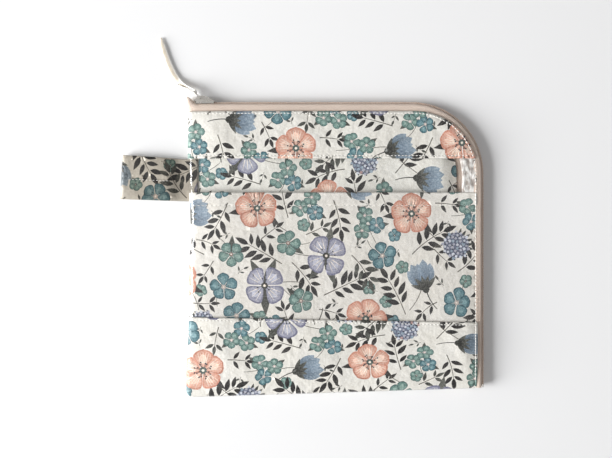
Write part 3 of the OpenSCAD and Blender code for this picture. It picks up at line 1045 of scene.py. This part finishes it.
pocket = print_piece("pocket", panel(pocket_high[1], 4.0, 2.5), lay_pocket, POCKET_OFFSET, pocket_print,
                     LINING_T, 3.0, pocket_rows)
finish(pocket, FRONT, "lining_cotton", "slip_pocket")

window_edge = spaced(fabric_outline(window_low[1], window_high[1]), 3)
lay_window = laid(window_high[2], window_low[2], VINYL_T, sag_window)
window = plain_piece("window", window_edge, lay_window, vinyl, VINYL_T, 2.4)
finish(window, FRONT, "clear_vinyl", "front_window")

upper_edge = spaced(fabric_outline(band_low[1], edge_y), ROW_STEP)
upper_rows = np.concatenate([zip_rows(band_low[1]), edge_rows(band_low[1], 1, left_x, edge_x)])
lay_upper = with_edges(laid(band_high[2], lower_low[2], CLOTH_T), zip_edge, lambda x, y: y - band_low[1])
upper = print_piece("top_band", upper_edge, lay_upper, UPPER_OFFSET, laminate, CLOTH_T, 2.6, upper_rows)
finish(upper, FRONT, "printed_cotton", "front_top_band")

lower_rows = np.concatenate([zip_rows(low_y), edge_rows(lower_high[1], -1, left_x, edge_x)])
lower_rows = lower_rows[lower_rows[:, 1] < lower_high[1] - 0.3]
lay_lower = with_edges(laid(lower_high[2], lower_low[2], CLOTH_T), zip_edge, lambda x, y: lower_high[1] - y)
lower = print_piece("bottom_band", panel(lower_high[1], 4.5, ROW_STEP), lay_lower, LOWER_OFFSET, laminate,
                    CLOTH_T, 2.6, lower_rows)
finish(lower, FRONT, "printed_cotton", "front_bottom_band")

# ---------- Zip tapes and coils ----------

# Facing along the zip's side run, between the window and the tape: milky, with painted highlights and shade on
# its creases
FACE_IN, FACE_OUT, FACE_LOW, FACE_TURN = -14.1, -4.4, -52.0, 66.0


def facing_material():
    """Milky, creased soft plastic, coloured dark to white along its creases: painted highlights and shade."""
    n = Nodes("facing")
    where = n.place()
    stretched = n.add("Mapping", {"Vector": where, "Scale": (1.0, 0.45, 1.0)}).outputs[0]
    crease = n.noise(stretched, 0.42, 2, 0.5)
    normal = n.bump(crease, 0.0014, 0.7)
    # Painted highlights and shade: the colour follows the crease noise, dark on one side of a crease and white on
    # the other.
    colour = n.mix(n.span(crease, 0.0, 1.0, 0.38, 0.62), (0.42, 0.365, 0.33), (1.0, 0.98, 0.955))
    return n.surface(Base_Color=colour, Roughness=0.22, Normal=normal)


def lay_facing():
    turn = np.radians(np.linspace(FACE_TURN, 0, 28))
    side = np.arange(corner_y, FACE_LOW, -1.6)
    line = np.concatenate([
        np.column_stack([corner_x + CORNER_R * np.cos(turn), corner_y + CORNER_R * np.sin(turn)]),
        np.column_stack([np.full(len(side) - 1, chain_x), side[1:]])])
    out = np.concatenate([
        np.column_stack([np.cos(turn), np.sin(turn)]), np.tile((1.0, 0.0), (len(side) - 1, 1))])
    rows = np.linspace(FACE_IN, FACE_OUT, 8)
    points = []
    for r in rows:
        xy = line + out * r
        x, y = pull(xy[:, 0], xy[:, 1])
        above = smooth((xy[:, 1] - pocket_high[1]) / 5)
        crinkle = 0.22 * np.sin(xy[:, 1] / 1.9 + r) + 0.16 * np.sin(xy[:, 1] / 1.1 - 2 * r)
        z = pocket_high[2] - 1.05 + above * (0.35 + crinkle) + swell(xy[:, 0], xy[:, 1])
        points.append(np.column_stack([x, y, z]))
    obj = make_object("zip_facing", np.concatenate(points), grid_faces(len(rows), len(line), True),
                      facing_material())
    flat_coordinates(obj, np.concatenate([line + out * r for r in rows]))
    return thicken(obj, 0.2)


finish(lay_facing(), FRONT, "clear_vinyl")

TAPE_IN, TAPE_OUT = -14.0, -0.7
TAPE_END = -99.6
# Heights above the chain: the front tape's top, and the coil side of both tapes' turned edges
TAPE_RISE, TAPE_CREST = 2.75, 0.55
# The tape's own height under the pocket's edge, inside and at the seams
FLAT_Z, SEAM_Z = pocket_high[2] - 1.5, pocket_low[2] - 0.25


def zip_path(start_x, end_y, step):
    """Points along the zip line from the left end of its top run to the low end of its side run, with the
    outward direction and the distance along at each."""
    top = corner_x - start_x
    turn = CORNER_R * math.pi / 2
    side = corner_y - end_y
    count = round((top + turn + side) / step)
    s = np.linspace(0, top + turn + side, count + 1)
    a = np.clip((s - top) / CORNER_R, 0, math.pi / 2)
    out = np.column_stack([np.sin(a), np.cos(a)])
    x = np.where(s < top, start_x + s, corner_x + CORNER_R * np.sin(a))
    y = np.where(s < top, chain_y, corner_y + CORNER_R * np.cos(a))
    y = np.where(s > top + turn, corner_y - (s - top - turn), y)
    return np.column_stack([x, y]), out, s


def tape_section(up):
    """Distance out and height along a tape from its inner edge to the chain. The front tape rises from
    under the cloth to clear the slider's inner plate."""
    turn_r, crest_z = 3.2, chain_z + TAPE_CREST * up
    if up > 0:
        inner, flat_z, top_z, square = TAPE_IN, FLAT_Z, chain_z + TAPE_RISE, 0.55
    else:
        inner, square = TAPE_IN - 4, 1.0
        flat_z = top_z = tape_back_low[2] + TAPE_T / 2
    a = np.linspace(0, math.pi / 2, 11)
    bend = [(TAPE_OUT - turn_r * (1 - math.sin(t) ** square),
             crest_z + (top_z - crest_z) * max(math.cos(t), 0) ** square) for t in a]
    flat = [(r, flat_z + (top_z - flat_z) * smooth((r + 7.5) / 4))
            for r in np.linspace(inner, TAPE_OUT - turn_r, 9)[:-1]]
    return np.array(flat + bend)


def zip_height(r, z, x, y, up):
    """A zip point's height: level beside the chain, following the cloth under it."""
    if up < 0:
        return z
    cloth = smooth((-2.2 - r) / 4)
    k = shoulder(x, y)
    return z + cloth * (swell(x, y) * k - (FLAT_Z - SEAM_Z) * (1 - k))


def end_curl(x, y):
    """At the closed end the tape's free corner turns up beside the slider."""
    return smooth((left_x + 6.5 - x) / 6.5) * smooth((y - chain_y + 6) / 6)


def tape(name, up, node, body):
    line, out, s = zip_path(left_x, TAPE_END, 1.6)
    section = tape_section(up)
    lengths = distance_along(section)
    points, weave = [], []
    for k, (r, z) in enumerate(section):
        xy = line + out * r
        x, y = pull(xy[:, 0], xy[:, 1])
        zz = zip_height(r, np.full(len(x), float(z)), xy[:, 0], xy[:, 1], up)
        curl = end_curl(xy[:, 0], xy[:, 1])
        y = y + 5.0 * curl
        zz = zz + 1.2 * curl * up
        points.append(np.column_stack([x, y, zz]))
        weave.append(np.column_stack([s, np.full(len(s), lengths[k]), np.zeros(len(s))]))
    obj = make_object(name, np.concatenate(points), grid_faces(len(section), len(line), up > 0), tape_cloth)
    vector_attribute(obj, "weave", np.concatenate(weave))
    finish(thicken(obj, TAPE_T), body, "zip_tape", node)


tape("zip_tape_upper", 1, "zip_tape_front", FRONT)
tape("zip_tape_under", -1, "zip_tape_back", BACK)


def coil(name, up, node, body):
    """One nylon coil: turns of a fine filament pressed flat, each leaning along the chain."""
    pitch, per_turn, sides, wire = 1.1, 8, 5, 0.27
    line, out, s = zip_path(coil_low[0], low_y + 2.6, pitch / per_turn)
    i = np.arange(len(line))
    a = 2 * math.pi * i / per_turn + (math.pi if up < 0 else 0)
    mid_r, mid_z, half_r, half_z, lean = 0.1, chain_z + up * 0.95, 0.72, 0.62, 0.18
    r, z = mid_r + half_r * np.cos(a), mid_z + half_z * np.sin(a)
    xy = line + out * r[:, None]
    x, y = pull(xy[:, 0], xy[:, 1])
    centre = np.column_stack([x, y, z])
    centre[:, :2] += np.column_stack([out[:, 1], -out[:, 0]]) * (lean * np.cos(a))[:, None]
    d = unit(np.gradient(centre, axis=0))
    u = unit(np.cross(d, (0, 0, 1.0)))
    v = np.cross(u, d)
    turns = 2 * math.pi * np.arange(sides) / sides
    points = np.stack([centre + wire * (u * math.cos(t) + v * math.sin(t)) for t in turns], 1).reshape(-1, 3)
    obj = make_object(name, points, tube_faces(len(centre), sides), coil_nylon)
    vector_attribute(obj, "weave", np.repeat(np.column_stack([s, z, s]), sides, axis=0))
    finish(obj, body, "nylon_coil", node)


coil("zip_coil_upper", 1, "zip_coil_front", FRONT)
coil("zip_coil_under", -1, "zip_coil_back", BACK)

# ---------- Stitching ----------


def stitches(name, centres, along, normals, node, body, length=2.0, r=0.29):
    """A row of stitches: each a short rounded thread that dips into the cloth at both ends."""
    points, faces, weave = [], [], []
    count, sides = 5, 5
    for c, d, up in zip(centres, along, normals):
        d = unit(d)
        side = unit(np.cross(up, d))
        base = len(points)
        for k in range(count):
            t = k / (count - 1) * 2 - 1
            lift = 0.16 - 0.42 * t**4
            size = r * (1 - 0.45 * t**6)
            for j in range(sides):
                a = 2 * math.pi * j / sides
                points.append(c + d * t * length / 2 + up * (lift + size * 0.8 * math.sin(a))
                              + side * size * math.cos(a))
                weave.append((t * length / 2, a * r, 0))
        faces += tube_faces(count, sides, base)
    obj = make_object(name, points, faces, thread)
    vector_attribute(obj, "weave", weave)
    finish(obj, body, "thread", node)


def stitch_line(points, pitch=PITCH, wobble=0.12, seed=1):
    """Evenly spaced places along an open line in the flat cloth."""
    pick = random.Random(seed)
    run = distance_along(points)
    s = np.arange(pitch / 2, run[-1], pitch)
    x, y = np.interp(s, run, points[:, 0]), np.interp(s, run, points[:, 1])
    wob = np.array([pick.uniform(-wobble, wobble) for _ in s])
    d = np.column_stack([np.interp(s + 0.5, run, points[:, 0]) - np.interp(s - 0.5, run, points[:, 0]),
                         np.interp(s + 0.5, run, points[:, 1]) - np.interp(s - 0.5, run, points[:, 1])])
    d = unit(d)
    return np.column_stack([x - d[:, 1] * wob, y + d[:, 0] * wob]), d


def on_cloth(place, flat, d, thick, side=1):
    """Stitch places, directions and normals on a laid cloth's outer face."""
    a, b = flat - d * 0.9, flat + d * 0.9
    c = place(flat[:, 0], flat[:, 1])
    along = place(b[:, 0], b[:, 1]) - place(a[:, 0], a[:, 1])
    n = np.column_stack([-d[:, 1], d[:, 0]]) * 0.3
    p, q = flat - n, flat + n
    across = place(q[:, 0], q[:, 1]) - place(p[:, 0], p[:, 1])
    up = unit(np.cross(along, across))
    return c + up * thick / 2 * side, along, up * side


zip_line = np.concatenate([
    [(left_x + 2, edge_y - ZIP_STITCH_IN)],
    arc(edge_x - edge_r, edge_y - edge_r, edge_r - ZIP_STITCH_IN, 90, 0, 30),
    [(edge_x - ZIP_STITCH_IN, low_y + 6)]])


def level_line(y, short=5):
    return np.array([(left_x + 2, y), (edge_x - short, y)])


def lay_front_edge(x, y):
    """The front's own face beside the zip, whichever piece is there."""
    window_part = (y < band_low[1]) & (y > lower_high[1])
    p = np.where((y >= band_low[1])[:, None], lay_upper(x, y), lay_lower(x, y))
    return np.where(window_part[:, None], lay_window(x, y), p)


for name, node, line, place in (
        ("stitching_zip", "thread_zip_front", zip_line, lay_front_edge),
        ("stitching_top_band", "thread_top_band", level_line(band_low[1] + STITCH_IN), lay_upper),
        ("stitching_bottom_band", "thread_bottom_band", level_line(lower_high[1] - STITCH_IN), lay_lower)):
    stitches(name, *on_cloth(place, *stitch_line(line), CLOTH_T), node, FRONT)

hem_row = stitch_line(level_line(pocket_high[1] - HEM_D, 12), 3.0, 0.1, 3)
stitches("stitching_pocket_hem", *on_cloth(lay_pocket, *hem_row, LINING_T), "thread_pocket_hem", FRONT,
         2.1, 0.2)

# The back's row lies flat under it, just clear of the table
c, along, up = on_cloth(lay_back, *stitch_line(zip_line), CLOTH_T, -1)
c[:, 2] = np.maximum(c[:, 2], 0.42)
stitches("stitching_back", c, along, up, "thread_zip_back", BACK)

# ---------- Side tab ----------

HINGE_X, HINGE_Z = tab_high[0] - TAB_T, (tail_low[2] + tail_high[2]) / 2
TAB_LEN = HINGE_X - tab_low[0]
tab_mid = (tab_low[1] + tab_high[1]) / 2


def tab_profile():
    """Side view of the loop: from the seam out along the top, round the end and back underneath."""
    neck, swell_x, end = HINGE_X - 4, HINGE_X - 13, tab_low[0] + 2.6
    top = [(tail_high[0] - 0.4, HINGE_Z + 0.42), (left_x, HINGE_Z + 0.42), (HINGE_X, HINGE_Z + 0.44),
           (neck, HINGE_Z + 0.62), (neck - 3, HINGE_Z + 1.3), (neck - 6, 4.2), (swell_x, 4.75),
           (swell_x - 8, 5.05), (end + 12, 5.1), (end + 5, 5.05)]
    turn = [(end - 2.25 * math.sin(math.radians(a)), 2.8 + 2.25 * math.cos(math.radians(a)))
            for a in range(0, 181, 20)]
    low = [(end + 6, 0.42), (end + 16, 0.42), (swell_x - 6, 0.42), (swell_x, 0.46), (neck - 5, 0.62),
           (neck - 1.5, 1.0), (HINGE_X, HINGE_Z - 0.42), (left_x, HINGE_Z - 0.36),
           (tail_high[0] - 0.4, HINGE_Z - 0.36)]
    return np.array(top + turn + low)


profile = cut_corners(tab_profile())
profile_s = distance_along(profile)
TAB_RUN = profile_s[-1]
TAB_W = tab_high[1] - tab_low[1]


def lay_tab(u, v):
    """u runs along the loop from one end to the other, and v across it."""
    x, z = np.interp(u, profile_s, profile[:, 0]), np.interp(u, profile_s, profile[:, 1])
    t = np.clip((HINGE_X - x) / TAB_LEN, 0, 1)
    side = (TAB_W / 2 - v) / (TAB_W / 2)
    free = smooth(t / 0.25)
    upper = u < TAB_RUN / 2
    # the end is wider and turned up the pouch a little; the sides lean in and roll under
    y = tab_mid + side * TAB_W / 2 * (1 + 0.05 * t) + 2.2 * t
    x = x + 0.9 * side * t
    roll = 0.55 * np.abs(side) ** 8 * free
    crown = 0.25 * np.cos(side * math.pi / 2) * free + 0.16 * np.sin(x / 5 + 1.5 * side) * free
    centre = -0.30 * np.exp(-((side / 0.05) ** 2)) * free
    z = z + np.where(upper, crown + centre - roll, np.maximum(0.4 * roll, 0))
    return np.column_stack([x, y, np.maximum(z, 0.36)])


tab_edge = spaced(np.array([(0, 0), (TAB_RUN, 0), (TAB_RUN, TAB_W), (0, TAB_W)]), 1.4)
centre_rows = np.array([
    (x, TAB_W / 2 + dy) for x in np.arange(1, TAB_RUN, 1.5) for dy in (-0.9, -0.4, 0, 0.4, 0.9)])
tab = print_piece("side_tab", tab_edge, lay_tab, (9, 50), tab_print, TAB_T * 0.9, 1.6, centre_rows)
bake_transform(tab)
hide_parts("tab_loop", "tab_tail")


def along_top(x):
    """How far along the loop its upper side reaches x."""
    return profile_s[np.argmin(np.abs(profile[:len(profile) // 2, 0] - x))]


row = stitch_line(np.array([(along_top(x), TAB_W / 2 + 1.2) for x in (HINGE_X - 11, tab_low[0] + 4)]), 2.3)
c, along, up = on_cloth(lay_tab, *row, TAB_T * 0.9)
if up[:, 2].mean() < 0:
    c, along, up = on_cloth(lay_tab, *row, TAB_T * 0.9, -1)
stitches("stitching_tab", c, along, up, "thread_tab", "tab", 1.7, 0.18)

# ---------- Lace ----------

LACE = np.array([
    (-95.2, 107.9, 4.3), (-96.9, 108.9, 4.2), (-98.6, 109.8, 4.0), (-100.4, 110.6, 3.4), (-102.4, 111.5, 2.7),
    (-104.5, 112.8, 1.9), (-106.4, 114.5, 1.3), (-108.2, 116.6, 0.95), (-109.8, 119.0, 0.8), (-111.2, 121.7, 0.7),
    (-112.6, 124.6, 0.7), (-113.9, 127.7, 0.7), (-115.1, 130.9, 0.7), (-116.2, 134.1, 0.7), (-117.3, 137.4, 0.7),
    (-118.3, 140.8, 0.7), (-119.3, 144.4, 0.7)])
# The short end: it passes inside the puller's bar and turns back round it
LACE_END = np.array([
    (-107.6, 112.2, 1.7), (-105.4, 111.2, 2.0), (-103.1, 110.0, 2.7), (-100.9, 108.9, 3.3), (-98.7, 107.6, 3.9),
    (-96.35, 106.0, 4.3), (-95.5, 105.9, 4.3), (-94.85, 106.4, 4.3), (-94.75, 107.2, 4.3)])
LACE_W, LACE_T = 3.8, 1.3


def strap(name, route, widths, thicks, twist):
    """A flat lace: a soft-edged band swept along a route, turning about it as it goes."""
    route = cut_corners(route)
    d = unit(np.gradient(route, axis=0))
    level = unit(np.cross(d, (0, 0, 1.0)))
    up = np.cross(level, d)
    s = distance_along(route)
    turn = np.interp(s / s[-1], *zip(*twist))
    w = np.interp(s / s[-1], *zip(*widths))
    t = np.interp(s / s[-1], *zip(*thicks))
    sides = 16
    points, weave = [], []
    for k in range(len(route)):
        u = level[k] * math.cos(turn[k]) + up[k] * math.sin(turn[k])
        v = -level[k] * math.sin(turn[k]) + up[k] * math.cos(turn[k])
        for j in range(sides):
            a = 2 * math.pi * j / sides
            cx = math.copysign(abs(math.cos(a)) ** 0.6, math.cos(a)) * w[k] / 2
            cz = math.copysign(abs(math.sin(a)) ** 0.6, math.sin(a)) * t[k] / 2
            points.append(route[k] + u * cx + v * cz)
            weave.append((s[k], cx, cz))
    faces = [(f[0], *f[:0:-1]) for f in tube_faces(len(route), sides)]
    obj = make_object(name, points, faces, suede)
    vector_attribute(obj, "weave", weave)
    return obj


lace = strap("lace", np.concatenate([LACE_END, LACE]),
             [(0, 1.2), (0.05, 2.6), (0.25, 2.8), (0.45, 3.0), (0.6, LACE_W), (0.9, 3.3), (1, 1.0)],
             [(0, 0.8), (0.25, 0.95), (0.5, LACE_T), (0.9, LACE_T), (1, 0.8)],
             [(0, 1.2), (0.12, math.pi / 2), (0.34, math.pi / 2), (0.52, 0.0), (1, 0.0)])
finish(lace, "puller", "lace", "pull_lace")

# ---------- Metal parts: the CAD shapes ----------


for name in ("slider_body", "slider_puller"):
    metal_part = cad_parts[name]
    metal_part.data.materials.clear()
    metal_part.data.materials.append(slider_metal)


def clamp(name, centre, side, out, half, wide, turn, node, body):
    """A metal stop: a strip bent round a coil. side runs along the zip, out away from the pouch, and turn
    gives the first and last angle of the bend."""
    side, out, up = (np.array(v, float) for v in (side, out, (0, 0, 1)))
    a = np.radians(np.linspace(*turn, 17))[:, None]
    strip = np.asarray(centre, float) + 0.8 * out * np.cos(a) + half * up * np.sin(a)
    d = unit(np.gradient(strip, axis=0))
    b = np.linspace(0, 2 * math.pi, 10, endpoint=False)
    points = [p + side * wide * math.cos(t) + np.cross(v, side) * 0.26 * math.sin(t)
              for p, v in zip(strip, d) for t in b]
    obj = make_object(name, points, tube_faces(len(strip), len(b)), slider_metal)
    finish(obj, body, "slider_metal", node)


stop_low, stop_high = node_box("zip_bottom_stop")
end_x, end_y = (float(v[0]) for v in pull(np.array([chain_x]), np.array([low_y + 1.5])))
clamp("bottom_stop", (end_x + 0.15, end_y, chain_z), (0, 1, 0), (1, 0, 0), (stop_high[2] - stop_low[2]) / 2,
      0.9, (-115, 115), "zip_bottom_stop", BACK)
for name, node, body in (
        ("top_stop_upper", "zip_top_stop_front", FRONT), ("top_stop_under", "zip_top_stop_back", BACK)):
    top_low, top_high = node_box(node)
    mid = (top_low + top_high) / 2
    clamp(name, (mid[0], chain_y, mid[2]), (-1, 0, 0), (0, 1, 0), (top_high[2] - top_low[2]) / 2 + 0.1,
          0.9, (-150, 150), node, body)

# ---------- Table and light ----------


table_look = Nodes("table_white")
paper = table_look.noise(table_look.add("TexCoord").outputs["Object"], 900.0, 3)
table_look.surface(Base_Color=(0.93, 0.93, 0.935), Roughness=0.75,
                   Normal=table_look.bump(paper, 0.00002, 0.3))
HALF = 30000
table = make_object("table", [(-HALF, -HALF, 0), (HALF, -HALF, 0), (HALF, HALF, 0), (-HALF, HALF, 0)],
                    [(0, 1, 2, 3)], table_look.material)
table.location.z = -0.0003


def light(name, kind, place, power, **settings):
    """A light that shines from place, in metres, towards the pouch."""
    data = bpy.data.lights.new(name, kind)
    data.energy = power
    for k, v in settings.items():
        setattr(data, k, v)
    obj = bpy.data.objects.new(name, data)
    obj.location = place
    obj.rotation_euler = (-Vector(place)).to_track_quat("-Z", "Y").to_euler()
    bpy.context.collection.objects.link(obj)


# A dim room with pale walls low down, so that the table has no dark horizon
world = bpy.data.worlds.new("studio")
world.use_nodes = True
room = world.node_tree
direction = room.nodes.new("ShaderNodeTexCoord").outputs["Generated"]
height = room.nodes.new("ShaderNodeSeparateXYZ")
room.links.new(direction, height.inputs[0])
wall = room.nodes.new("ShaderNodeMapRange")
room.links.new(height.outputs[2], wall.inputs[0])
for socket, value in zip(("From Min", "From Max", "To Min", "To Max"), (0.14, 0.3, 0.8, 0.19)):
    wall.inputs[socket].default_value = value
background = room.nodes["Background"]
background.inputs["Color"].default_value = (1, 1, 1, 1)
room.links.new(wall.outputs[0], background.inputs["Strength"])
bpy.context.scene.world = world
light("daylight", "SUN", (-2.3, -0.5, 0.98), 2.3, angle=math.radians(34))
light("window_light", "AREA", (-1.45, -0.3, 0.62), 31, shape="RECTANGLE", size=1.1, size_y=1.0)
light("ceiling", "SUN", (0.1, -0.2, 1.5), 0.3, angle=math.radians(80))
bpy.context.scene.view_settings.view_transform = "Standard"
